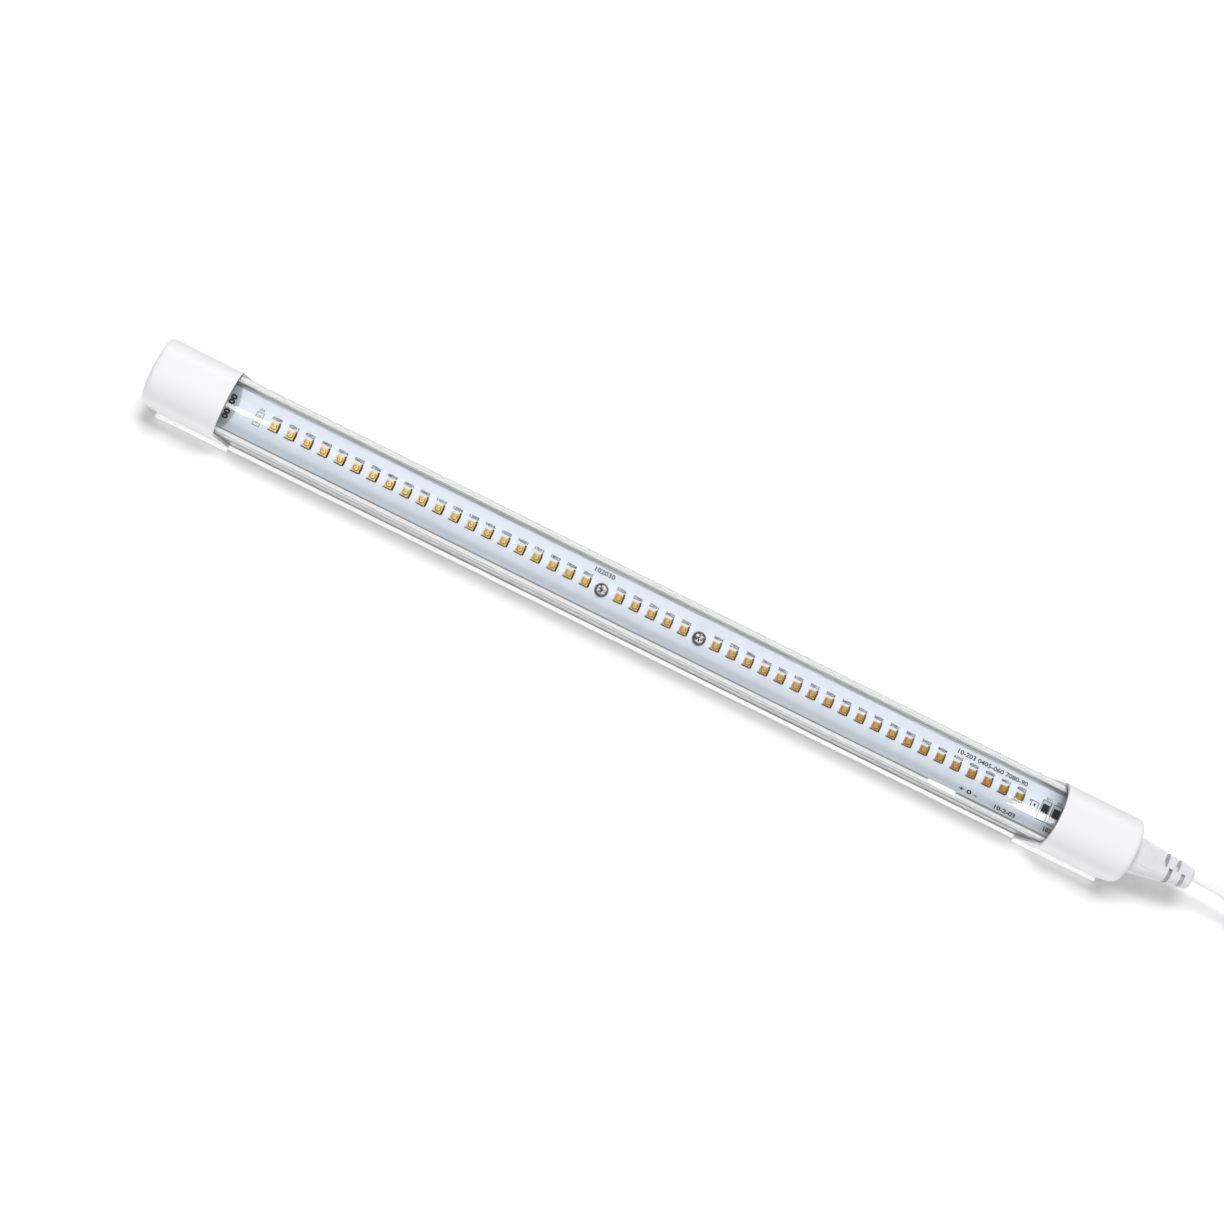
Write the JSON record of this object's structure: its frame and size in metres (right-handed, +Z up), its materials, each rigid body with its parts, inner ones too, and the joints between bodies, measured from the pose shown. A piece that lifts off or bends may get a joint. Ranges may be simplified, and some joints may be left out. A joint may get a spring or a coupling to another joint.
{
  "type": "led light tube",
  "caption": "Clear round-topped tube light with a row of small light-emitting diodes on a board, white end caps on flat feet and a plug-in cord with a round plug.",
  "frame": {"origin": "on the surface the feet stand on, under the middle of the end caps' length and width", "axes": "+X along the tube towards the power lead, +Y across, +Z up out of the lit side"},
  "size_m": [0.6137, 0.0629, 0.0285],
  "materials": {
    "clear_plastic": "clear gloss",
    "white_cap": "satin white",
    "white_plug": "satin white",
    "white_cord": "smooth soft white",
    "seal": "matt",
    "board": "bluish white solder mask",
    "bar": "plain",
    "led_ceramic": "gold plated ceramic",
    "led_window": "clear",
    "led_chip": "gold",
    "steel_screw": "plain",
    "resistor": "black",
    "tin": "tinned",
    "capacitor": "plain",
    "socket": "white",
    "contact": "plated",
    "wire_red": "red",
    "wire_black": "black",
    "tie": "black",
    "barrel": "nickel plated",
    "core": "black"
  },
  "bodies": {
    "light": {"clear_tube": "clear_plastic", "heat_sink_bar": "bar", "led_board": "board", "led_packages": "led_ceramic", "led_chips": "led_chip", "led_windows": "led_window", "board_screws": "steel_screw", "resistor_bodies": "resistor", "resistor_terminals": "tin", "chip_capacitor": "capacitor", "left_end_cap": "white_cap", "right_end_cap": "white_cap", "left_end_seal": "seal", "right_end_seal": "seal", "power_socket": "socket", "socket_pins": "contact", "positive_wire": "wire_red", "negative_wire": "wire_black", "solder_joints": "tin"},
    "power_lead": {"plug_nose": "white_plug", "plug_sleeves": "contact", "plug_body": "white_plug", "cord_lead": "white_cord", "cord_tail": "white_cord", "cord_coil": "white_cord", "coil_tie": "tie", "far_plug_relief": "white_plug", "far_plug_body": "white_plug", "far_plug_barrel": "barrel", "far_plug_core": "core"}
  },
  "joints": [
    {"name": "plug_pull", "type": "slide", "parent": "light", "child": "power_lead", "axis": [1, 0, 0], "range_m": [0, 0.016]}
  ]
}
